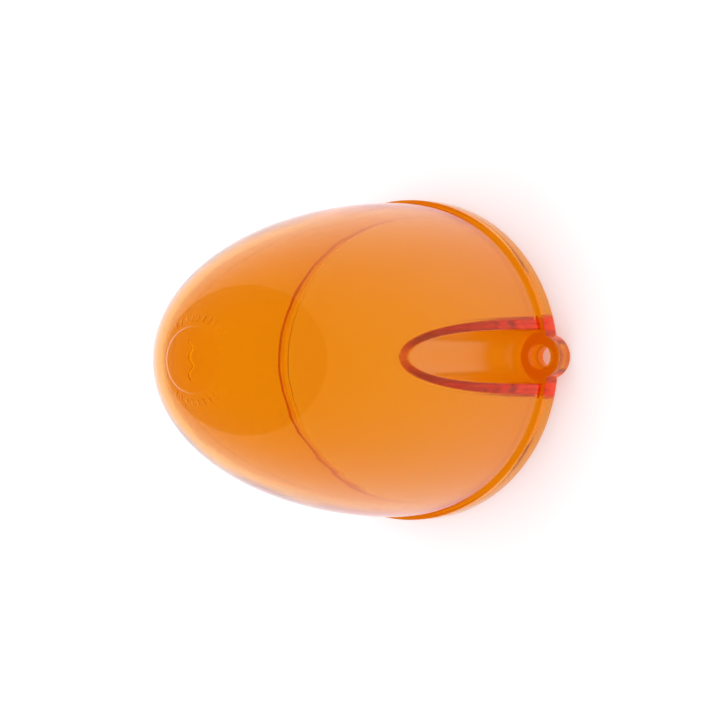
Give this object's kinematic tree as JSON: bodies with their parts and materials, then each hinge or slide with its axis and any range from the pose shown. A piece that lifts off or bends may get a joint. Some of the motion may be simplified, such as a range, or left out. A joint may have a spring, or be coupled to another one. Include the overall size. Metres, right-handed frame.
{
  "type": "marker lamp lens",
  "caption": "Bullet-shaped amber lens of a cab marker lamp: a hollow clear dome on a round skirt, with a screw pocket and a screw boss on one side.",
  "frame": {"origin": "centre of the skirt's flat sealing face, on the dome's axis", "axes": "+Z along the dome's axis to the nose, -Y to the screw boss, +X to the side that the nose marks as top"},
  "size_m": [0.08, 0.0834, 0.1006],
  "materials": {
    "amber_plastic": "polished transparent amber polycarbonate"
  },
  "bodies": {
    "root": {"lens": "amber_plastic"}
  },
  "joints": []
}
